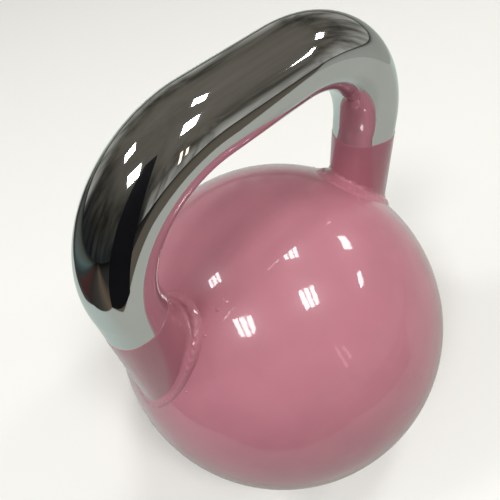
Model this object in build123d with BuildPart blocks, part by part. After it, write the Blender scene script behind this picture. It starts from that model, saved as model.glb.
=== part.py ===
"""An 8 kg competition-pattern kettlebell: a hollow steel ball with a solid bent handle welded to it.

Millimetres, +Z up. The origin is the middle of the foot's resting plane, and the handle lies along X.
The ball is two pressed half shells, joined at the equator by a weld that is ground flush. The handle's legs
are cut to the ball's surface and located by spigots in the upper shell. The foot has a round plate welded into
it, above a recess that keeps it clear of the floor, and a threaded plug closes the filling hole in this plate.
"""

import os
from math import radians, sqrt, tan

from build123d import *

# Driving dimensions: the ball
overall_height = 280.0
ball_diameter = 210.0
wall = 5.0
foot_corner_radius = 6.0

# Driving dimensions: the handle, a bar that is a little flattened by bending and swells towards its feet
handle_rise = 177.5  # the grip's centreline above the ball's centre
leg_spacing = 154.0  # between the legs' centrelines
corner_radius = 57.0  # of the centreline
bar_width = 34.2  # across the plane of the bend
grip_thickness = 30.0  # in the plane of the bend
foot_thickness = 39.5
foot_rise = 40.0  # the level, above the ball's centre, where the leg is foot_thickness thick
spigot_diameter = 18.0
spigot_bottom_rise = 47.0
spigot_top_rise = 80.0
spigot_clearance = 0.1

# Driving dimensions: the welds
groove_outer = 3.5  # half the girth groove's width at the outer surface
groove_root = 0.8  # and at the inner surface
backing_ring_half_width = 8.0
backing_ring_thickness = 3.0
bead_height = 3.5
bead_inner_reach = 10.0  # how far the handle's bead spreads over the ball, towards its top
bead_outer_reach = 3.0  # and on the steep outer side
bead_side_reach = 5.5
bead_rounding = 2.5

# Driving dimensions: the foot, its plate and its plug
recess_depth = 5.0
recess_radius = 43.0  # at the resting plane; its side slopes at 45 degrees
plate_groove_radius = 34.0  # the middle of the joint between the lower shell and the foot plate
plate_groove_outer = 2.0  # half the joint's width at its lower face
plate_groove_root = 0.6  # and at its upper face
thread_diameter = 24.0
thread_clearance = 0.05
hole_clearance = 0.5
boss_diameter = 38.0
boss_height = 10.0
boss_weld_leg = 4.0
gasket_thickness = 1.5
gasket_width = 4.5
plug_head_diameter = 34.0
plug_head_thickness = 2.7
plug_shank_length = 17.0
plug_edge_chamfer = 0.6
socket_across_flats = 14.0
socket_depth = 10.0
ballast_depth = 5.75  # brings the whole to 8 kg

# Derived sizes
ball_radius = ball_diameter / 2
inner_radius = ball_radius - wall
ball_height = overall_height - grip_thickness / 2 - handle_rise
grip_height = ball_height + handle_rise
leg_x = leg_spacing / 2
straight_half = leg_x - corner_radius
bend_height = grip_height - corner_radius
panel_radius = recess_radius - recess_depth
inner_shift = wall * tan(radians(22.5))  # how far a 45 degree corner moves out across the wall
panel_top = recess_depth + wall


def on_sphere(radius, rise):
    """The point of the half profile on this sphere, this far above the ball's centre."""
    return (sqrt(radius**2 - rise**2), ball_height + rise)


def sphere_arc(radius, rise_from, rise_to):
    """An arc of the half profile about the ball's centre."""
    middle = on_sphere(radius, (rise_from + rise_to) / 2)
    return ThreePointArc(on_sphere(radius, rise_from), middle, on_sphere(radius, rise_to))


# The upper half shell, with a bevelled rim and two holes for the handle's spigots
with BuildPart() as upper_shell:
    with BuildSketch(Plane.XZ):
        with BuildLine():
            outer = sphere_arc(ball_radius, groove_outer, ball_radius)
            inner = sphere_arc(inner_radius, groove_root, inner_radius)
            Line(outer @ 1, inner @ 1)
            Line(inner @ 0, outer @ 0)
        make_face()
    revolve(axis=Axis.Z)
    with BuildSketch(Plane.XY.offset(ball_height + spigot_bottom_rise)):
        with Locations((leg_x, 0), (-leg_x, 0)):
            Circle(spigot_diameter / 2 + spigot_clearance)
    extrude(amount=ball_radius, mode=Mode.SUBTRACT)

# The lower half shell, with the flat foot, and its lip drawn in and bevelled for the foot plate
with BuildPart() as lower_shell:
    with BuildSketch(Plane.XZ):
        with BuildLine():
            outer = sphere_arc(ball_radius, -groove_outer, -ball_height)
            inner = sphere_arc(inner_radius, -groove_root, wall - ball_height)
            Polyline(
                outer @ 1,
                (recess_radius, 0),
                (panel_radius, recess_depth),
                (plate_groove_radius + plate_groove_outer, recess_depth),
                (plate_groove_radius + plate_groove_root, panel_top),
                (panel_radius + inner_shift, panel_top),
                (recess_radius + inner_shift, wall),
                inner @ 1,
            )
            Line(inner @ 0, outer @ 0)
        make_face()
    revolve(axis=Axis.Z)
    foot_edge = lower_shell.edges().filter_by(GeomType.CIRCLE).group_by(Axis.Z)[0].sort_by(SortBy.RADIUS)[-1]
    fillet(foot_edge, foot_corner_radius)

# The foot plate, level with the lower shell's lip, with the filling hole in its middle
with BuildPart() as foot_plate:
    with BuildSketch(Plane.XZ):
        hole_radius = thread_diameter / 2 + hole_clearance
        with BuildLine():
            Polyline(
                (hole_radius, recess_depth),
                (plate_groove_radius - plate_groove_outer, recess_depth),
                (plate_groove_radius - plate_groove_root, panel_top),
                (hole_radius, panel_top),
                close=True,
            )
        make_face()
    revolve(axis=Axis.Z)

# The weld that fills the groove between the foot plate and the lower shell, ground flush
with BuildPart() as plate_weld:
    with BuildSketch(Plane.XZ):
        with BuildLine():
            Polyline(
                (plate_groove_radius - plate_groove_outer, recess_depth),
                (plate_groove_radius + plate_groove_outer, recess_depth),
                (plate_groove_radius + plate_groove_root, panel_top),
                (plate_groove_radius - plate_groove_root, panel_top),
                close=True,
            )
        make_face()
    revolve(axis=Axis.Z)

# The girth weld fills the groove and is ground flush with the ball
with BuildPart() as girth_weld:
    with BuildSketch(Plane.XZ):
        with BuildLine():
            face = sphere_arc(ball_radius, -groove_outer, groove_outer)
            root = sphere_arc(inner_radius, -groove_root, groove_root)
            Line(face @ 0, root @ 0)
            Line(face @ 1, root @ 1)
        make_face()
    revolve(axis=Axis.Z)

# The strip behind the girth weld
with BuildPart() as backing_ring:
    with BuildSketch(Plane.XZ):
        strip_inner_radius = inner_radius - backing_ring_thickness
        with BuildLine():
            back = sphere_arc(inner_radius, -backing_ring_half_width, backing_ring_half_width)
            Polyline(
                back @ 0,
                (strip_inner_radius, ball_height - backing_ring_half_width),
                (strip_inner_radius, ball_height + backing_ring_half_width),
                back @ 1,
            )
        make_face()
    revolve(axis=Axis.Z)

# The handle: half a grip, one bend and one leg, mirrored, then cut to the ball and given its spigots
with BuildPart() as handle_bar:
    with BuildSketch(Plane.YZ):
        with Locations((0, grip_height)):
            Ellipse(bar_width / 2, grip_thickness / 2)
    extrude(amount=straight_half)
    with BuildSketch(Plane.YZ.offset(straight_half)):
        with Locations((0, grip_height)):
            Ellipse(bar_width / 2, grip_thickness / 2)
    revolve(axis=Axis((straight_half, 0, bend_height), (0, 1, 0)), revolution_arc=90)
    with BuildSketch(Plane.XY.offset(bend_height)):
        with Locations((leg_x, 0)):
            Ellipse(grip_thickness / 2, bar_width / 2)
    with BuildSketch(Plane.XY.offset(ball_height + foot_rise)):
        with Locations((leg_x, 0)):
            Ellipse(foot_thickness / 2, bar_width / 2)
    loft()
    mirror(about=Plane.YZ)
    with Locations((0, 0, ball_height)):
        Sphere(ball_radius, mode=Mode.SUBTRACT)
    with BuildSketch(Plane.XY.offset(ball_height + spigot_bottom_rise)):
        with Locations((leg_x, 0), (-leg_x, 0)):
            Circle(spigot_diameter / 2)
    extrude(amount=spigot_top_rise - spigot_bottom_rise)
    chamfer(handle_bar.edges().group_by(Axis.Z)[0], 1.0)

# The bead round the left leg's foot: a collar on the ball's surface, rounded over at its outer edge
with BuildPart() as left_handle_weld:
    with BuildSketch(Plane.XY.offset(ball_height)):
        with Locations((-leg_x + (bead_inner_reach - bead_outer_reach) / 2, 0)):
            Ellipse(
                (foot_thickness + bead_inner_reach + bead_outer_reach) / 2,
                bar_width / 2 + bead_side_reach,
            )
    extrude(amount=ball_radius + bead_height)
    with Locations((0, 0, ball_height)):
        Sphere(ball_radius + bead_height, mode=Mode.INTERSECT)
    fillet(left_handle_weld.faces().filter_by(GeomType.SPHERE).edges(), bead_rounding)
    with Locations((0, 0, ball_height)):
        Sphere(ball_radius, mode=Mode.SUBTRACT)
    add(handle_bar.part, mode=Mode.SUBTRACT)

with BuildPart() as right_handle_weld:
    mirror(left_handle_weld.part, about=Plane.YZ)

# The threaded boss on the foot plate; the thread is a plain bore at its own diameter
with BuildPart() as filler_boss:
    with BuildSketch(Plane.XY.offset(panel_top)):
        Circle(boss_diameter / 2)
        Circle(thread_diameter / 2, mode=Mode.SUBTRACT)
    extrude(amount=boss_height)

# The fillet weld round the boss
with BuildPart() as boss_weld:
    with BuildSketch(Plane.XZ):
        with BuildLine():
            Polyline(
                (boss_diameter / 2, panel_top),
                (boss_diameter / 2 + boss_weld_leg, panel_top),
                (boss_diameter / 2, panel_top + boss_weld_leg),
                close=True,
            )
        make_face()
    revolve(axis=Axis.Z)

# The sealing ring between the plug's head and the foot plate
with BuildPart() as plug_gasket:
    gasket_inner_radius = thread_diameter / 2 + hole_clearance / 2
    with BuildSketch(Plane.XY.offset(recess_depth - gasket_thickness)):
        Circle(gasket_inner_radius + gasket_width)
        Circle(gasket_inner_radius, mode=Mode.SUBTRACT)
    extrude(amount=gasket_thickness)

# The plug: a low head, a threaded shank and a hexagon socket from below
with BuildPart() as filler_plug:
    head_top = recess_depth - gasket_thickness
    head_bottom = head_top - plug_head_thickness
    with BuildSketch(Plane.XY.offset(head_bottom)):
        Circle(plug_head_diameter / 2)
    extrude(amount=plug_head_thickness)
    chamfer(filler_plug.edges().group_by(Axis.Z)[0], plug_edge_chamfer)
    with BuildSketch(Plane.XY.offset(head_top)):
        Circle(thread_diameter / 2 - thread_clearance)
    extrude(amount=plug_shank_length)
    with BuildSketch(Plane.XY.offset(head_bottom)):
        RegularPolygon(socket_across_flats / 2, 6, major_radius=False)
    extrude(amount=socket_depth, mode=Mode.SUBTRACT)

# The ballast, poured level in the trough of the foot, over the foot plate's edge
with BuildPart() as ballast:
    with BuildSketch(Plane.XZ):
        surface_height = wall + ballast_depth
        with BuildLine():
            side = sphere_arc(inner_radius, wall - ball_height, surface_height - ball_height)
            weld_toe = boss_diameter / 2 + boss_weld_leg
            Polyline(
                side @ 0,
                (recess_radius + inner_shift, wall),
                (panel_radius + inner_shift, panel_top),
                (weld_toe, panel_top),
                (weld_toe, surface_height),
                side @ 1,
            )
        make_face()
    revolve(axis=Axis.Z)

pieces = {
    "upper_shell": upper_shell,
    "lower_shell": lower_shell,
    "foot_plate": foot_plate,
    "plate_weld": plate_weld,
    "girth_weld": girth_weld,
    "backing_ring": backing_ring,
    "handle_bar": handle_bar,
    "left_handle_weld": left_handle_weld,
    "right_handle_weld": right_handle_weld,
    "filler_boss": filler_boss,
    "boss_weld": boss_weld,
    "plug_gasket": plug_gasket,
    "filler_plug": filler_plug,
    "ballast": ballast,
}
os.makedirs("parts", exist_ok=True)
for name, piece in pieces.items():
    piece.part.label = name
    export_step(piece.part, f"parts/{name}.step")
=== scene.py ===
from dataclasses import dataclass
from math import asin, atan2, cos, pi, radians, sin, sqrt, tan
from random import Random

import bpy
from mathutils import Matrix, Vector
from mathutils.noise import noise as noise_field


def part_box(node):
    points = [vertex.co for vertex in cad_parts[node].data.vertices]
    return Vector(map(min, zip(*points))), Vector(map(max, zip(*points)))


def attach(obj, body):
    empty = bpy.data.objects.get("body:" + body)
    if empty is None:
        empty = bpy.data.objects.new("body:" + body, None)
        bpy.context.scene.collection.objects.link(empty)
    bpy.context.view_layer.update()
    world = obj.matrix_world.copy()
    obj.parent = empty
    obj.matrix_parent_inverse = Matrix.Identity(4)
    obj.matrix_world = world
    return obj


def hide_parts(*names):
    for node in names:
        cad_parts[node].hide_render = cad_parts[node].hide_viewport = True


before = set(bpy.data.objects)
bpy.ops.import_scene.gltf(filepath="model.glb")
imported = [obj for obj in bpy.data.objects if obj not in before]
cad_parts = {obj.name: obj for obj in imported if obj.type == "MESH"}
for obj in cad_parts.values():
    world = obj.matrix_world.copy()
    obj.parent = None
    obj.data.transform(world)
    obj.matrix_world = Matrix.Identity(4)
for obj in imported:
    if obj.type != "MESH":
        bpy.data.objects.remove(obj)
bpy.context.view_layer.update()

MM = 0.001

# ---------------------------------------------------------------- sizes
# Metres, in the row frame: Z is up, the handle runs along X, and the origin is in the middle of the foot.
# A leg is named by its side, -1 for the near one at -X and 1 for the far one at +X.

seam_low, seam_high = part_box("girth_weld")
bar_low, bar_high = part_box("handle_bar")

# The ball and its foot
ball_radius = 105 * MM
wall = 5 * MM
ball_height = (seam_low.z + seam_high.z) / 2
ball_centre = Vector((0, 0, ball_height))
groove_half_width = 3.5 * MM
groove_root_half_width = 0.8 * MM
foot_corner_radius = 6 * MM
recess_radius = 43 * MM
recess_depth = 5 * MM
recess_slope = 45  # degrees
plate_groove_radius = 34 * MM
plate_groove_half_width = 2 * MM
plate_groove_root_half_width = 0.6 * MM

# The handle: a bar of elliptical section, bent to a squared U, which swells down its legs
bar_half_width = (bar_high.y - bar_low.y) / 2
grip_half_thickness = 15 * MM
foot_half_thickness = 19.75 * MM
grip_height = bar_high.z - grip_half_thickness
corner_radius = 57 * MM
leg_x = 77 * MM
foot_height = ball_height + 40 * MM  # where a leg is as thick as foot_half_thickness
straight_half = leg_x - corner_radius
bend_height = grip_height - corner_radius
bend_length = corner_radius * pi / 2
leg_length = bend_height - foot_height
longest_swell = 1.3  # a leg stops swelling this many times leg_length below its bend

# The coat on the legs
paint_thickness = 0.18 * MM
paint_overlap = 0.1 * MM  # how deep the sleeve's ends lie in the metal
paint_edge_width = 0.3 * MM


# ---------------------------------------------------------------- mesh helpers

axis_tolerance = 1e-7
ball_tolerance = 1e-6


def new_piece(name, vertices, faces, finish, node, sharp_angle=40):
    """A smooth-shaded mesh piece that rides on the bell and stands for a CAD node."""
    mesh = bpy.data.meshes.new(name)
    mesh.from_pydata([tuple(v) for v in vertices], [], faces)
    mesh.validate()
    mesh.shade_smooth()
    mesh.set_sharp_from_angle(angle=radians(sharp_angle))
    mesh.materials.append(finish)
    piece = bpy.data.objects.new(name, mesh)
    bpy.context.scene.collection.objects.link(piece)
    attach(piece, "root")
    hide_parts(node)
    return piece


def turns(count):
    """Angles that divide a full turn into count steps."""
    return [2 * pi * j / count for j in range(count)]


def ring_faces(rings, count, closed=True, flip=False):
    """Quads between successive rings of count vertices; closed joins the last ring to the first."""
    faces = []
    for i in range(rings if closed else rings - 1):
        a, b = i * count, (i + 1) % rings * count
        for j in range(count):
            k = (j + 1) % count
            quad = (a + j, a + k, b + k, b + j)
            faces.append(quad[::-1] if flip else quad)
    return faces


def revolve(profile, segments):
    """Vertices and faces of a solid of revolution about Z from a closed profile of (radius, height)."""
    vertices, rows = [], []
    for radius, height in profile:
        if radius < axis_tolerance:
            rows.append([len(vertices)] * segments)
            vertices.append((0, 0, height))
            continue
        rows.append(list(range(len(vertices), len(vertices) + segments)))
        vertices.extend((radius * cos(angle), radius * sin(angle), height) for angle in turns(segments))
    faces = []
    for i, row in enumerate(rows):
        following = rows[(i + 1) % len(rows)]
        for j in range(segments):
            k = (j + 1) % segments
            quad = [row[j], row[k], following[k], following[j]]
            face = [v for n, v in enumerate(quad) if v not in quad[:n]]
            if len(face) > 2:
                faces.append(face)
    return vertices, faces


def sphere_arc(radius, rise_from, rise_to, steps):
    """Profile points on the sphere of this radius about the ball's centre, between two heights over it."""
    a, b = asin(rise_from / radius), asin(rise_to / radius)
    angles = [a + (b - a) * i / steps for i in range(steps + 1)]
    return [(max(radius * cos(t), 0.0), ball_height + radius * sin(t)) for t in angles]


def round_ball_normals(mesh):
    """Gives the outer face of the ball exact radial normals, so that no joint between pieces shows in it."""
    outward = [vertex.co - ball_centre for vertex in mesh.vertices]
    on_ball = [abs(out.length - ball_radius) < ball_tolerance for out in outward]
    corners = []
    for polygon in mesh.polygons:
        outer_face = all(on_ball[v] for v in polygon.vertices)
        for v in polygon.vertices:
            corners.append(outward[v].normalized() if outer_face else Vector((0, 0, 0)))
    mesh.normals_split_custom_set(corners)


# ---------------------------------------------------------------- the handle's shape

def bar_centre(s):
    """(x, z, direction) of the handle's centreline, s along it from the middle of the grip towards +X."""
    side = -1 if s < 0 else 1
    s = abs(s)
    if s <= straight_half:
        return side * s, grip_height, 0.0
    if s <= straight_half + bend_length:
        turn = (s - straight_half) / corner_radius
        x = straight_half + corner_radius * sin(turn)
        return side * x, bend_height + corner_radius * cos(turn), side * turn
    return side * leg_x, bend_height - (s - straight_half - bend_length), side * pi / 2


def bar_half_thickness(s):
    """Half the bar's thickness in the plane of the handle: even in the grip, growing down a leg."""
    down_leg = max(0.0, abs(s) - straight_half - bend_length) / leg_length
    return grip_half_thickness + (foot_half_thickness - grip_half_thickness) * min(down_leg, longest_swell)


def bar_point(s, angle, lift=0.0):
    """A point of the bar's surface; angle 0 is its outer side, and lift is the height over the surface."""
    x, z, turn = bar_centre(s)
    out = (bar_half_thickness(s) + lift) * cos(angle)
    return (x + out * sin(turn), (bar_half_width + lift) * sin(angle), z + out * cos(turn))


def leg_s(height):
    """The place along the centreline of a leg at this height."""
    return straight_half + bend_length + bend_height - height


# ---------------------------------------------------------------- shader helpers

def material(name):
    """A new material, its node tree and its shader."""
    made = bpy.data.materials.new(name)
    made.use_nodes = True
    return made, made.node_tree, made.node_tree.nodes["Principled BSDF"]


def add(tree, kind, **values):
    """A new node; each value is for the input or else the setting of that name."""
    node = tree.nodes.new(kind)
    for key, value in values.items():
        if key in node.inputs:
            node.inputs[key].default_value = value
        else:
            setattr(node, key, value)
    return node


def noise(tree, scale, detail=2.0, roughness=0.5):
    """Noise in the object's own coordinates; scale is in features per metre."""
    place = add(tree, "ShaderNodeTexCoord")
    made = add(tree, "ShaderNodeTexNoise", Scale=scale, Detail=detail, Roughness=roughness)
    tree.links.new(place.outputs["Object"], made.inputs["Vector"])
    return made.outputs["Fac"]


def ramp(tree, source, *stops):
    """A colour ramp on source; each stop is (place, colour)."""
    made = add(tree, "ShaderNodeValToRGB")
    elements = made.color_ramp.elements
    while len(elements) < len(stops):
        elements.new(0.5)
    for element, (place, colour) in zip(elements, stops):
        element.position = place
        element.color = (*colour, 1)
    tree.links.new(source, made.inputs["Fac"])
    return made.outputs["Color"]


def map_range(tree, source, before, after=(0.0, 1.0), kind="LINEAR"):
    """Source with the range before stretched to the range after, and held at its ends."""
    made = add(tree, "ShaderNodeMapRange", interpolation_type=kind)
    for socket, value in zip(("From Min", "From Max", "To Min", "To Max"), (*before, *after)):
        made.inputs[socket].default_value = value
    tree.links.new(source, made.inputs["Value"])
    return made.outputs["Result"]


def components(tree, vector):
    """The X, Y and Z of a vector."""
    made = add(tree, "ShaderNodeSeparateXYZ")
    tree.links.new(vector, made.inputs["Vector"])
    return made.outputs


def calculate(tree, operation, *sources):
    """One step of arithmetic on the sources."""
    made = add(tree, "ShaderNodeMath", operation=operation)
    for source, socket in zip(sources, made.inputs):
        tree.links.new(source, socket)
    return made.outputs["Value"]


def mix(tree, factor, first, second, kind="MIX"):
    """Two colours mixed by a factor."""
    made = add(tree, "ShaderNodeMix", data_type="RGBA", blend_type=kind)
    tree.links.new(factor, made.inputs["Factor"])
    tree.links.new(first, made.inputs["A"])
    tree.links.new(second, made.inputs["B"])
    return made.outputs["Result"]


def bump(tree, shader, height, strength, distance, socket="Normal"):
    """Fine relief for a shader: height is its texture and distance its depth in metres."""
    made = add(tree, "ShaderNodeBump", Strength=strength, Distance=distance)
    tree.links.new(height, made.inputs["Height"])
    tree.links.new(made.outputs["Normal"], shader.inputs[socket])


# ---------------------------------------------------------------- materials

def pink_paint():
    """Pink enamel under a glossy clear coat, with a little mottling and orange peel."""
    made, tree, shader = material("pink_enamel")
    mottling = noise(tree, 45, 3)
    colour = ramp(tree, mottling, (0.35, (0.530, 0.209, 0.270)), (0.65, (0.565, 0.225, 0.289)))
    tree.links.new(colour, shader.inputs["Base Color"])
    shader.inputs["Roughness"].default_value = 0.32
    shader.inputs["Specular IOR Level"].default_value = 0.2
    shader.inputs["Coat Weight"].default_value = 1.0
    shader.inputs["Coat Roughness"].default_value = 0.045
    shader.inputs["Coat IOR"].default_value = 1.4
    peel = noise(tree, 260, 2)
    for socket in ("Normal", "Coat Normal"):
        bump(tree, shader, peel, 0.05, 0.4 * MM, socket)
    return made


def chrome_plate():
    """Bright chrome plate with faint haze and polishing marks."""
    made, tree, shader = material("chrome_plate")
    shader.inputs["Metallic"].default_value = 1.0
    colour = ramp(tree, noise(tree, 30, 3), (0.3, (0.60, 0.605, 0.61)), (0.7, (0.64, 0.645, 0.65)))
    tree.links.new(colour, shader.inputs["Base Color"])
    haze = map_range(tree, noise(tree, 60, 4), (0.0, 1.0), (0.02, 0.06))
    tree.links.new(haze, shader.inputs["Roughness"])
    bump(tree, shader, noise(tree, 55, 1), 0.04, 0.6 * MM)
    return made


def steel(name, dark, light, roughness):
    """Bare metal with mottled tone and a slightly rough surface."""
    made, tree, shader = material(name)
    shader.inputs["Metallic"].default_value = 1.0
    tree.links.new(ramp(tree, noise(tree, 120, 4), (0.3, dark), (0.7, light)), shader.inputs["Base Color"])
    shader.inputs["Roughness"].default_value = roughness
    bump(tree, shader, noise(tree, 900, 3), 0.3, 0.2 * MM)
    return made


def dull(name, dark, light, grain):
    """A non-metal with mottled tone and a grain, which is in features per metre."""
    made, tree, shader = material(name)
    tree.links.new(ramp(tree, noise(tree, grain, 5), (0.3, dark), (0.7, light)), shader.inputs["Base Color"])
    shader.inputs["Roughness"].default_value = 0.8
    bump(tree, shader, noise(tree, grain * 2, 4), 0.5, 0.3 * MM)
    return made


paint = pink_paint()
chrome = chrome_plate()
bare_steel = steel("bare_steel", dark=(0.30, 0.30, 0.30), light=(0.46, 0.46, 0.47), roughness=0.45)
plug_steel = steel("zinc_plated_steel", dark=(0.52, 0.52, 0.50), light=(0.66, 0.66, 0.64), roughness=0.32)
fibre = dull("gasket_fibre", dark=(0.12, 0.045, 0.03), light=(0.20, 0.08, 0.05), grain=1500)
iron = dull("iron_ballast", dark=(0.07, 0.07, 0.075), light=(0.16, 0.16, 0.17), grain=700)


# ---------------------------------------------------------------- the ball

BALL_SEGMENTS = 288
ARC_STEPS = 100
CORNER_STEPS = 16


def make_skin(node, profile):
    """A painted piece of the ball, turned from its profile, that stands for a CAD node."""
    vertices, faces = revolve(profile, BALL_SEGMENTS)
    piece = new_piece(f"{node}_skin", vertices, faces, paint, node)
    round_ball_normals(piece.data)


def upper_shell_profile():
    outer = sphere_arc(ball_radius, groove_half_width, ball_radius, ARC_STEPS)
    inner = sphere_arc(ball_radius - wall, ball_radius - wall, groove_root_half_width, ARC_STEPS // 2)
    return outer + inner


def girth_weld_profile():
    face = sphere_arc(ball_radius, -groove_half_width, groove_half_width, steps=6)
    root = sphere_arc(ball_radius - wall, groove_root_half_width, -groove_root_half_width, steps=2)
    return face + root


def foot_corner():
    """The rounded knuckle between the ball and the foot's resting ring, as profile points."""
    inside = ball_radius - foot_corner_radius
    centre_height = foot_corner_radius
    centre_radius = sqrt(inside**2 - (ball_height - centre_height) ** 2)
    start = atan2(centre_height - ball_height, centre_radius)
    angles = [start + (-pi / 2 - start) * i / CORNER_STEPS for i in range(CORNER_STEPS + 1)]
    return [
        (centre_radius + foot_corner_radius * cos(t), centre_height + foot_corner_radius * sin(t))
        for t in angles
    ]


def foot_recess():
    """The sloped side of the foot's recess and the lip round the foot plate's groove, as profile points."""
    shift = wall * tan(radians(recess_slope / 2))
    lip_radius = recess_radius - recess_depth
    return [
        (recess_radius, 0),
        (lip_radius, recess_depth),
        (plate_groove_radius + plate_groove_half_width, recess_depth),
        (plate_groove_radius + plate_groove_root_half_width, recess_depth + wall),
        (lip_radius + shift, recess_depth + wall),
        (recess_radius + shift, wall),
    ]


def lower_shell_profile():
    corner = foot_corner()
    outer = sphere_arc(ball_radius, -groove_half_width, corner[0][1] - ball_height, ARC_STEPS)
    inner = sphere_arc(ball_radius - wall, wall - ball_height, -groove_root_half_width, ARC_STEPS // 2)
    return (outer[:-1] + corner + foot_recess() + inner)[::-1]


# ---------------------------------------------------------------- the handle

BAR_RINGS = 520
BAR_SEGMENTS = 128
SLEEVE_RINGS = 60
metal_end = foot_height - 2 * MM
sleeve_end = foot_height - 1 * MM


def make_handle_metal():
    """The whole bar, with both ends inside the ball."""
    end = leg_s(metal_end)
    places = [-end + 2 * end * i / (BAR_RINGS - 1) for i in range(BAR_RINGS)]
    vertices = [bar_point(s, angle) for s in places for angle in turns(BAR_SEGMENTS)]
    faces = ring_faces(BAR_RINGS, BAR_SEGMENTS, closed=False, flip=True)
    faces.append(tuple(range(BAR_SEGMENTS)))
    last = (BAR_RINGS - 1) * BAR_SEGMENTS
    faces.append(tuple(range(last, last + BAR_SEGMENTS))[::-1])
    new_piece("handle_metal", vertices, faces, chrome, "handle_bar")


# Each leg's masked paint line, in millimetres: its middle height over the ball's centre, and how far it rises
# to its high side. That side is at high_angle round the leg, in degrees from its outer side towards the back.
PAINT_LINES = {
    -1: {"middle": 109.9, "tilt": 5.2, "high_angle": -145},
    1: {"middle": 112.5, "tilt": 2.0, "high_angle": -110},
}
slow_waver = 0.25
quick_waver = 0.15


def paint_edge(side, angle):
    """The height of the masked paint line round a leg: tilted, as the tape was, with a hand-cut waver."""
    line = PAINT_LINES[side]
    tilt = line["tilt"] * cos(angle - radians(line["high_angle"]))
    waver = slow_waver * sin(3 * angle + side) + quick_waver * sin(7 * angle + 2 * side)
    return ball_height + (line["middle"] + tilt + waver) * MM


def sleeve_ring(side, lift, below_edge=0.0, ring=0):
    """Points round a leg, lift over its metal, on a ring between the paint line and the sleeve's end."""
    points = []
    for angle in turns(BAR_SEGMENTS):
        top = paint_edge(side, angle) - below_edge
        height = top + (sleeve_end - top) * ring / SLEEVE_RINGS
        points.append(bar_point(side * leg_s(height), angle, lift))
    return points


def make_leg_paint(side, name):
    """The coat of paint on a leg, a thin closed sleeve from the masked line to inside the ball."""
    vertices = sleeve_ring(side, -paint_overlap)
    vertices += sleeve_ring(side, paint_thickness / 3)
    for ring in range(SLEEVE_RINGS + 1):
        vertices += sleeve_ring(side, paint_thickness, paint_edge_width, ring)
    vertices += sleeve_ring(side, -paint_overlap, ring=SLEEVE_RINGS)
    faces = ring_faces(SLEEVE_RINGS + 4, BAR_SEGMENTS, flip=side > 0)
    new_piece(name, vertices, faces, paint, "handle_bar", sharp_angle=60)


# ---------------------------------------------------------------- the weld beads

WELD_SECTIONS = 720
FILLET_STEPS = 14
BEAD_STEPS = 16


@dataclass
class Bead:
    """How a bead lies round its leg, in millimetres. A pair is for the leg's outer and its inner side."""

    climb: tuple  # from the joint line of leg and ball up the leg, to the bead's top
    ledge: tuple  # from that line over the ball, to where the fillet ends and the rippled bead begins
    toe: tuple  # from that line over the ball, to the bead's lower edge
    ledge_rise: float  # the most that the ledge stands over the ball
    fullness: float  # the height that the rippled bead is drawn up to, as a share of the ledge's rise
    lumps: float  # relief of the uneven surface
    ripples: float  # relief of the ripples


BEADS = {
    -1: Bead(
        climb=(4.5, 16),
        ledge=(0.4, 6.0),
        toe=(3.0, 9.8),
        ledge_rise=3.2,
        fullness=1.2,
        lumps=0.08,
        ripples=0.3,
    ),
    1: Bead(
        climb=(9, 6),
        ledge=(0.8, 3.5),
        toe=(4.0, 11.0),
        ledge_rise=2.0,
        fullness=0.5,
        lumps=0.45,
        ripples=0.25,
    ),
}
upper_blend_power = 3  # the higher, the later a size leaves its outer side's value on the way round the leg
toe_blend_power = 2.4

# Both beads waver as the welder's hand did. Heights are in millimetres, noise scales in features per metre.
sway_noise = 0.4
sway_noise_scale = 60
sway_wave = 0.3
sway_radian = 7 * MM  # the run of weld in which the wave turns by one radian
toe_sway_share = 0.8
fillet_lump_scale = 350
bead_lump_scale = 500
ripple_pitch = 3.6 * MM
ripple_bow = 0.7  # how far a ripple's middle lies along the weld from its ends, in pitches
ripple_start = 0.15  # how far into their fade the ripples begin, as a share of the way from ledge to toe
steepest_ledge = 0.6  # the most that the ledge rises over the ball, as a share of the bead's top
crown_share = 0.6  # where the rippled bead is drawn up, as a share of the way from ledge to toe
toe_depth = 0.15
root_depth = 1.5
first_guess = 70 * MM
JOINT_LINE_TRIES = 30


def noise_at(place, scale):
    return noise_field(Vector(place) * scale)


def bezier(start, handle, end, t):
    return start * (1 - t) ** 2 + handle * 2 * t * (1 - t) + end * t * t


def foot_point(side, angle):
    """Where a leg's painted surface meets the ball, at this angle round the leg: closer with each try."""
    height = ball_height + first_guess
    for _ in range(JOINT_LINE_TRIES):
        x, y, _ = bar_point(side * leg_s(height), angle, paint_thickness)
        height = ball_height + sqrt(max(ball_radius**2 - x * x - y * y, 0))
    return Vector((x, y, height))


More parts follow.
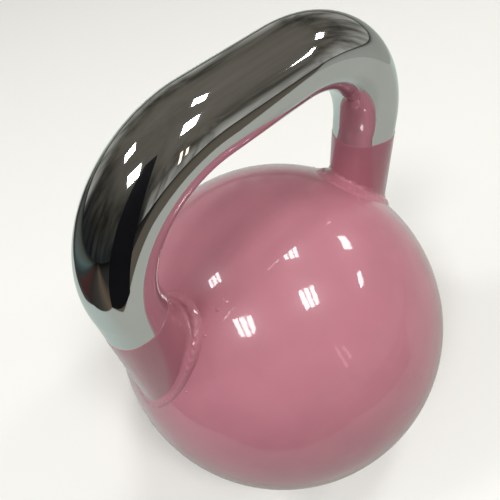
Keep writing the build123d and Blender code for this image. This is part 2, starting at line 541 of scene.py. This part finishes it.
class WeldSection:
    """A bead's outline at one point of the joint line, from its top on the leg to its toe on the ball.

    along is the joint line's direction at the point, and run is the line's length up to there.
    """

    def __init__(self, side, angle, point, along, run):
        self.bead = BEADS[side]
        self.point = point
        self.run = run
        self.ball_out = (point - ball_centre).normalized()
        leg_out = Vector((side * bar_half_width * cos(angle), foot_half_thickness * sin(angle), 0))
        self.leg_out = leg_out.normalized()
        over_ball = along.cross(self.ball_out)
        self.over_ball = over_ball if over_ball.dot(self.leg_out) > 0 else -over_ball

        sway = sway_noise * noise_at(point, sway_noise_scale) + sway_wave * sin(run / sway_radian)
        climb = self.round_leg(self.bead.climb, angle, upper_blend_power) + sway
        self.ledge_reach = self.round_leg(self.bead.ledge, angle, upper_blend_power)
        self.toe_reach = self.round_leg(self.bead.toe, angle, toe_blend_power) - sway * toe_sway_share
        self.rise = min(self.bead.ledge_rise, steepest_ledge * climb * self.ball_out.z)
        self.top = Vector(bar_point(side * leg_s(point.z + climb * MM), angle))
        self.ledge = self.on_ball(self.ledge_reach, self.rise)

    def round_leg(self, pair, angle, power):
        """A size that turns from the outer side's value to the inner side's on the way round the leg."""
        inner = (1 - cos(angle)) / 2
        return pair[0] + (pair[1] - pair[0]) * inner**power

    def on_ball(self, reach, rise):
        """The place this far from the leg over the ball and this high above it, in millimetres."""
        turn = reach * MM / ball_radius
        direction = self.ball_out * cos(turn) + self.over_ball * sin(turn)
        return ball_centre + direction * (ball_radius + rise * MM)

    def fillet(self):
        """The hollow upper part, from the leg down to the ledge."""
        corner = self.point + Vector((0, 0, self.rise * MM / self.ball_out.z))
        outline = []
        for i in range(FILLET_STEPS):
            t = i / FILLET_STEPS
            place = bezier(self.top, corner, self.ledge, t)
            out = (self.leg_out * (1 - t) + self.ball_out * t).normalized()
            lump = out * self.bead.lumps * noise_at(place, fillet_lump_scale)
            outline.append(place + lump * sin(pi * t) * MM)
        return outline

    def rippled_bead(self):
        """The rounded lower part, from the ledge to the toe, with crescent ripples and lumps."""
        crown_reach = self.ledge_reach + (self.toe_reach - self.ledge_reach) * crown_share
        crown = self.on_ball(crown_reach, self.rise * self.bead.fullness)
        toe = self.on_ball(self.toe_reach, -toe_depth)
        outline = []
        for i in range(BEAD_STEPS + 1):
            t = i / BEAD_STEPS
            place = bezier(self.ledge, crown, toe, t)
            fade = sin(pi * min(ripple_start + t, 1))
            crescent = self.run / ripple_pitch - ripple_bow * fade
            relief = self.bead.ripples * (sin(crescent * pi) ** 2 - 0.5)
            relief += self.bead.lumps * noise_at(place, bead_lump_scale)
            outline.append(place + self.ball_out * relief * fade * MM)
        return outline

    def root(self):
        """The outline's hidden point, inside leg and ball."""
        return self.point - (self.leg_out + self.ball_out) * root_depth * MM


def make_weld(side, name, node):
    """The weld round a leg: a fillet down to a ledge, a rippled bead below that, and spatter beside it."""
    angles = turns(WELD_SECTIONS)
    points = [foot_point(side, angle) for angle in angles]
    vertices = []
    run = 0.0
    for j, point in enumerate(points):
        following = points[(j + 1) % WELD_SECTIONS]
        run += (following - point).length
        along = (following - points[j - 1]).normalized()
        section = WeldSection(side, angles[j], point, along, run)
        vertices += [*section.fillet(), *section.rippled_bead(), section.root()]
    faces = ring_faces(WELD_SECTIONS, FILLET_STEPS + BEAD_STEPS + 2, flip=side < 0)
    add_spatter(side, vertices, faces)
    new_piece(name, vertices, faces, paint, node, sharp_angle=80)


# ---------------------------------------------------------------- weld spatter

spatter_seed = 11
SPATTER_DROPS = 14
DROP_RINGS = 5
DROP_SEGMENTS = 14
drop_sizes = (0.5, 1.1)  # radii, in millimetres
drop_distances = (17, 34)  # from the leg's centreline, in millimetres
drop_spread = 1.9  # how far round the leg from its inner side the drops lie at most, in radians
drop_stretch = 1.1  # how much wider the drops are strewn along Y than along X
drop_flatness = 0.55  # height of a drop as a share of its radius
drop_depth = 0.1 * MM


def add_spatter(side, vertices, faces):
    """Small round drops on the ball beside the bead, painted over with the rest."""
    chance = Random(spatter_seed + side)
    for _ in range(SPATTER_DROPS):
        size = chance.uniform(*drop_sizes) * MM
        away = chance.uniform(*drop_distances) * MM
        bearing = pi + chance.uniform(-drop_spread, drop_spread)
        x = side * (leg_x + away * cos(bearing))
        y = away * drop_stretch * sin(bearing)
        out = Vector((x, y, sqrt(ball_radius**2 - x * x - y * y))).normalized()
        add_drop(out, size, vertices, faces)


def add_drop(out, size, vertices, faces):
    """A low dome of radius size on the ball, in the direction out from its centre."""
    across = out.orthogonal().normalized()
    over = out.cross(across)
    base = ball_centre + out * (ball_radius - drop_depth)
    first = len(vertices)
    for i in range(DROP_RINGS):
        rise = i / DROP_RINGS * pi / 2
        for turn in turns(DROP_SEGMENTS):
            rim = (across * cos(turn) + over * sin(turn)) * size * cos(rise)
            vertices.append(base + rim + out * size * drop_flatness * sin(rise))
    vertices.append(base + out * size * drop_flatness)
    sides = ring_faces(DROP_RINGS, DROP_SEGMENTS, closed=False)
    faces.extend(tuple(first + v for v in face) for face in sides)
    last = first + (DROP_RINGS - 1) * DROP_SEGMENTS
    tip = len(vertices) - 1
    faces.extend((last + j, last + (j + 1) % DROP_SEGMENTS, tip) for j in range(DROP_SEGMENTS))
    faces.append(tuple(range(first + DROP_SEGMENTS - 1, first - 1, -1)))


# ---------------------------------------------------------------- the pieces

def give_finish(finish, *names):
    """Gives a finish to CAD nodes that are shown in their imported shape."""
    for name in names:
        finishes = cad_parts[name].data.materials
        finishes.clear()
        finishes.append(finish)


make_skin("upper_shell", upper_shell_profile())
make_skin("girth_weld", girth_weld_profile())
make_skin("lower_shell", lower_shell_profile())
make_handle_metal()
make_leg_paint(-1, "left_leg_paint")
make_leg_paint(1, "right_leg_paint")
make_weld(-1, "left_weld_bead", "left_handle_weld")
make_weld(1, "right_weld_bead", "right_handle_weld")
give_finish(paint, "foot_plate", "plate_weld")
give_finish(bare_steel, "backing_ring", "filler_boss", "boss_weld")
give_finish(plug_steel, "filler_plug")
give_finish(fibre, "plug_gasket")
give_finish(iron, "ballast")


# ---------------------------------------------------------------- the floor and what the bell mirrors

def level(height, *corners):
    """The corners of a face that lies at this height."""
    return [(x, y, height) for x, y in corners]


def rectangle(x_low, y_low, x_high, y_high, height):
    return level(height, (x_low, y_low), (x_high, y_low), (x_high, y_high), (x_low, y_high))


def tone_along_y(tree, stops):
    """A colour that changes along Y; each stop is (y, colour)."""
    place = add(tree, "ShaderNodeTexCoord")
    low, high = stops[0][0], stops[-1][0]
    reach = map_range(tree, components(tree, place.outputs["Object"])["Y"], (low, high))
    return ramp(tree, reach, *(((y - low) / (high - low), tone) for y, tone in stops))


def stage_face(name, corners, colour=None, along_y=()):
    """A flat, matt face of one colour, or of colours that change along Y."""
    finish, tree, shader = material(name)
    if along_y:
        tree.links.new(tone_along_y(tree, along_y), shader.inputs["Base Color"])
    else:
        shader.inputs["Base Color"].default_value = (*colour, 1)
    shader.inputs["Roughness"].default_value = 0.7
    shader.inputs["Specular IOR Level"].default_value = 0.2
    mesh = bpy.data.meshes.new(name)
    mesh.from_pydata(corners, [], [tuple(range(len(corners)))])
    mesh.materials.append(finish)
    made = bpy.data.objects.new(name, mesh)
    bpy.context.scene.collection.objects.link(made)
    return made


def add_floor():
    """The plain pale floor. The camera sees it with the bell's shadow on it, and nothing is lit by it."""
    floor = stage_face("floor", rectangle(-3.0, -3.0, 3.0, 3.0, 0), colour=(0.90, 0.91, 0.90))
    floor.visible_diffuse = False
    floor.visible_glossy = False
    floor.visible_shadow = False


def add_card(name, corners, colour=None, along_y=(), mirrored=True):
    """A face that the camera doesn't see. Either the bell mirrors it, or it lights the bell softly."""
    card = stage_face(name, corners, colour, along_y)
    card.visible_camera = False
    card.visible_shadow = False
    card.visible_diffuse = not mirrored
    card.visible_glossy = mirrored


# How far the ground reaches, and the left, right and back edges of the pale sheet in it, round the bell
far = 9.0
left_edge = -0.42
right_edge = 0.75
back_edge = 1.3


def add_sheets():
    """Two sheets under the bell, darker in front with painted shade: a pale one that it mirrors and one that
    lights it.
    """
    # The mirrored sheet is greenish white behind. Its darker, less green tones in front are painted shade,
    # warmed by a painted pink glow from the bell.
    add_card(
        "sheet",
        rectangle(-far, -far, far, far, -4 * MM),
        along_y=((-0.25, (0.54, 0.57, 0.53)), (-0.10, (0.53, 0.57, 0.53)), (0.05, (0.59, 0.68, 0.65))),
    )
    # The card that lights the bell is nearly black in front and pale behind: painted shade on the floor
    # before the bell, which dims the light bounced onto its lower front.
    add_card(
        "bounce_with_painted_shade",
        rectangle(-far, -far, far, far, -1 * MM),
        along_y=((-0.40, (0.04, 0.03, 0.03)), (-0.10, (0.10, 0.085, 0.08)), (0.10, (0.40, 0.44, 0.42))),
        mirrored=False,
    )


def add_side_grounds():
    """Ground beside the pale sheet: nearly black with bands of tone on the left, mid grey on the right."""
    add_card(
        "left_ground",
        rectangle(-far, -far, left_edge, far, -3 * MM),
        along_y=(
            (-0.30, (0.02, 0.02, 0.02)),
            (-0.12, (0.15, 0.11, 0.075)),
            (0.00, (0.05, 0.045, 0.04)),
            (0.15, (0.025, 0.02, 0.018)),
            (0.28, (0.07, 0.02, 0.018)),
            (0.42, (0.03, 0.045, 0.045)),
            (0.60, (0.11, 0.17, 0.17)),
            (1.00, (0.13, 0.14, 0.13)),
        ),
    )
    add_card("right_ground", rectangle(right_edge, -far, far, far, -3 * MM), colour=(0.43, 0.45, 0.42))


def add_front_and_back_grounds():
    """Dark ground in front of the pale sheet and over its back left corner, and mid grey ground behind it."""
    front = (
        (left_edge, -far),
        (far, -far),
        (0.24, -0.43),
        (-0.06, -0.50),
        (-0.28, -0.20),
        (left_edge, -0.15),
    )
    back_left = (
        (left_edge, 0.12),
        (-0.34, 0.22),
        (-0.30, 0.40),
        (-0.16, 0.52),
        (0.0, back_edge),
        (left_edge, back_edge),
    )
    add_card("front_ground", level(-2 * MM, *front), colour=(0.13, 0.115, 0.09))
    add_card("back_left_ground", level(-2 * MM, *back_left), colour=(0.06, 0.05, 0.05))
    add_card("back_ground", rectangle(left_edge, back_edge, far, far, -2 * MM), colour=(0.42, 0.42, 0.39))


def add_flag():
    """A dark upright flag behind the camera, to its left."""
    foot = level(0.0, (-0.19, -0.29), (-0.42, -0.14))
    top = level(0.80, (-0.33, -0.20), (-0.22, -0.27))
    add_card("flag", foot + top, colour=(0.012, 0.012, 0.018))


add_floor()
add_sheets()
add_side_grounds()
add_front_and_back_grounds()
add_flag()


# ---------------------------------------------------------------- light

def add_lamp(name, place, size, radiance, colour, turn=(0, 0, 0)):
    """A rectangular area light whose face has this radiance."""
    light = bpy.data.lights.new(name, "AREA")
    light.shape = "RECTANGLE"
    light.size, light.size_y = size
    light.energy = radiance * pi * light.size * light.size_y
    light.color = colour
    lamp = bpy.data.objects.new(name, light)
    lamp.rotation_euler = turn
    lamp.location = place
    bpy.context.scene.collection.objects.link(lamp)
    return lamp


strip_height = 2.4
face_height = 2.41
strip_radiance = 29.0
face_radiance = 4.2
ceiling_colour = (1.0, 0.99, 0.96)


def add_ceiling_fitting(x, y, turn, strip_length, pitch, strength):
    """A ceiling fitting: a softly lit face with three much brighter strips just below it."""
    turn = radians(turn)
    rotation = (0, 0, turn)
    size = (2.9 * pitch, 1.06 * strip_length)
    add_lamp("ceiling_face", (x, y, face_height), size, face_radiance * strength, ceiling_colour, rotation)
    size = (0.7 * pitch, strip_length)
    for offset in (-pitch, 0.0, pitch):
        place = (x + offset * cos(turn), y + offset * sin(turn), strip_height)
        add_lamp("ceiling_strip", place, size, strip_radiance * strength, ceiling_colour, rotation)


def add_left_fill():
    """A soft light from the left that the bell doesn't mirror."""
    turn = (0, radians(-54), radians(-17))
    white = (1.0, 1.0, 1.0)
    fill = add_lamp("left_fill", (-2.0, 0.6, 1.6), (1.5, 1.5), 1.2, white, turn)
    fill.visible_glossy = False


def add_warm_lamps():
    """Two narrow warm lights far in front, high up and side by side."""
    turn = (radians(68), 0, 0)
    warm = (1.0, 0.82, 0.66)
    for x, length in ((0.02, 1.5), (0.42, 0.9)):
        add_lamp("warm_lamp", (x, -5.2, 2.3), (0.16, length), 3.0, warm, turn)


# Each fitting's x, y and turn, its strips' length and pitch, and its strength
for fitting in (
    (0.76, 0.09, -28, 0.36, 0.14, 1.0),
    (0.29, -1.17, -17, 0.58, 0.17, 1.03),
    (-1.17, 1.14, -22, 0.46, 0.17, 0.85),
    (-1.65, -0.48, -33, 0.66, 0.23, 0.88),
    (3.02, -0.60, -13, 0.56, 0.20, 1.05),
    (2.70, -2.15, -11, 0.66, 0.12, 1.0),
):
    add_ceiling_fitting(*fitting)
add_left_fill()
add_warm_lamps()


# ---------------------------------------------------------------- the room

ceiling_tone = (0.148, 0.136, 0.116)
# The room's tones at the sine of the height over the horizon, from 0 at the horizon to 1 straight up
LIGHT_SIDE = (
    (0.0, (0.34, 0.335, 0.31)),
    (0.20, (0.22, 0.215, 0.19)),
    (0.34, (0.095, 0.09, 0.078)),
    (0.50, (0.115, 0.105, 0.085)),
    (0.68, (0.155, 0.142, 0.118)),
    (0.86, (0.175, 0.160, 0.133)),
    (1.0, ceiling_tone),
)
DARK_SIDE = (
    (0.0, (0.022, 0.024, 0.026)),
    (0.35, (0.038, 0.036, 0.030)),
    (0.55, (0.060, 0.056, 0.046)),
    (0.74, (0.130, 0.120, 0.100)),
    (1.0, ceiling_tone),
)
backdrop_tone = (0.74, 0.75, 0.735)


def facing(tree, direction, azimuth, inner, outer):
    """1 within inner degrees of an azimuth, 0 beyond outer."""
    turn = add(tree, "ShaderNodeVectorRotate", rotation_type="Z_AXIS", Angle=radians(-azimuth))
    tree.links.new(direction, turn.inputs["Vector"])
    parts = components(tree, turn.outputs["Vector"])
    bearing = calculate(tree, "ABSOLUTE", calculate(tree, "ARCTAN2", parts["Y"], parts["X"]))
    return map_range(tree, bearing, (radians(outer), radians(inner)), kind="SMOOTHSTEP")


def wall_bands(tree, direction):
    """Upright bands of lighter and darker tone, as the walls of a furnished room have."""
    stretch = add(tree, "ShaderNodeMapping", vector_type="POINT")
    stretch.inputs["Scale"].default_value = (1, 1, 0.22)
    tree.links.new(direction, stretch.inputs["Vector"])
    bands = add(tree, "ShaderNodeTexNoise", Scale=7.0, Detail=3.0, Roughness=0.6)
    tree.links.new(stretch.outputs["Vector"], bands.inputs["Vector"])
    return ramp(tree, bands.outputs["Fac"], (0.36, (0.45, 0.45, 0.43)), (0.64, (1.5, 1.5, 1.5)))


def add_backdrop(tree, room):
    """Seen directly, the room is a plain pale backdrop."""
    backdrop = add(tree, "ShaderNodeBackground", Color=(*backdrop_tone, 1))
    path = add(tree, "ShaderNodeLightPath")
    choice = add(tree, "ShaderNodeMixShader")
    tree.links.new(path.outputs["Is Camera Ray"], choice.inputs["Fac"])
    tree.links.new(room.outputs["Background"], choice.inputs[1])
    tree.links.new(backdrop.outputs["Background"], choice.inputs[2])
    tree.links.new(choice.outputs["Shader"], tree.nodes["World Output"].inputs["Surface"])


def make_world():
    """A dim room round the bell, dark on its left side, with one even tone straight up."""
    world = bpy.data.worlds.new("room")
    world.use_nodes = True
    bpy.context.scene.world = world
    tree = world.node_tree
    direction = add(tree, "ShaderNodeTexCoord").outputs["Generated"]
    upward = components(tree, direction)["Z"]
    light_side = ramp(tree, upward, *LIGHT_SIDE)
    dark_side = ramp(tree, upward, *DARK_SIDE)
    on_dark_side = facing(tree, direction, azimuth=-175, inner=58, outer=70)
    walls = mix(tree, on_dark_side, light_side, dark_side)
    bands_share = ramp(tree, upward, (0.42, (1, 1, 1)), (0.66, (0.12, 0.12, 0.12)))
    furnished = mix(tree, bands_share, walls, wall_bands(tree, direction), kind="MULTIPLY")
    room = tree.nodes["Background"]
    tree.links.new(furnished, room.inputs["Color"])
    add_backdrop(tree, room)


make_world()


# ---------------------------------------------------------------- camera

camera_place = Vector((-88.43, -114.53, 270.8)) * MM + ball_centre
camera_heading = 56.314  # degrees from +X towards +Y
camera_dip = 53.178  # degrees below the horizon
camera_roll = -11.541  # degrees


def add_camera():
    """The photograph's camera: above the bell, in front of its near leg, looking down across the handle."""
    data = bpy.data.cameras.new("camera")
    data.sensor_width = 36
    data.lens = 31.5
    data.shift_y = 0.0101
    data.clip_start = 10 * MM
    camera = bpy.data.objects.new("camera", data)
    # An unturned camera looks straight down, with the top of its picture towards +Y
    heading = Matrix.Rotation(radians(camera_heading - 90), 4, "Z")
    tilt = Matrix.Rotation(radians(90 - camera_dip), 4, "X")
    roll = Matrix.Rotation(radians(camera_roll), 4, "Z")
    camera.matrix_world = Matrix.Translation(camera_place) @ heading @ tilt @ roll
    bpy.context.scene.collection.objects.link(camera)
    bpy.context.scene.camera = camera


add_camera()
bpy.context.scene.view_settings.view_transform = "Standard"
